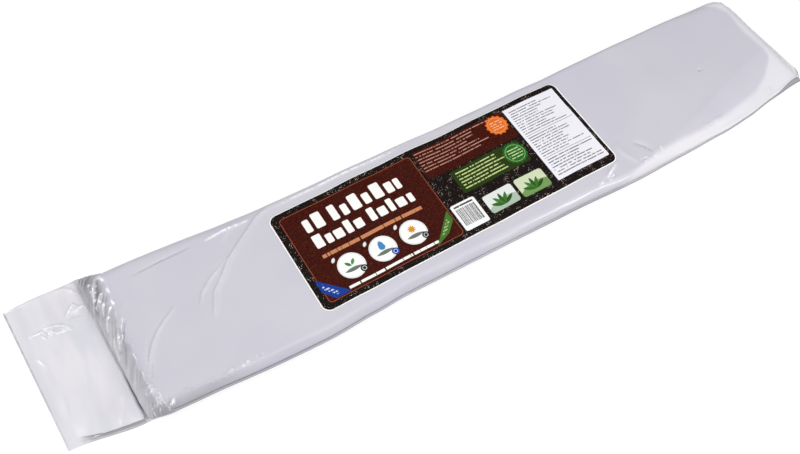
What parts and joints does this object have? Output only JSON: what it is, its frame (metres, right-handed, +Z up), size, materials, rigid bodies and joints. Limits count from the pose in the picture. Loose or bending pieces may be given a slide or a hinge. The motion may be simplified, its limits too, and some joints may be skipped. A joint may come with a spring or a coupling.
{
  "type": "compost bag",
  "caption": "Long flat compressed compost block sealed in a white film sleeve, with a short end seam, a flat welded tail and a printed label on top.",
  "frame": {"origin": "on the floor, under the middle of the bag's bounding box", "axes": "+X along the bag, from its tail towards its end seam; +Y across it, towards the side away from the viewer of the picture; +Z up"},
  "size_m": [1.1304, 0.229, 0.0284],
  "materials": {
    "film": "white polythene film, soft gloss",
    "label_print": "printed adhesive label, satin"
  },
  "bodies": {
    "root": {"sealed_bag": "film", "label": "label_print"}
  },
  "joints": []
}
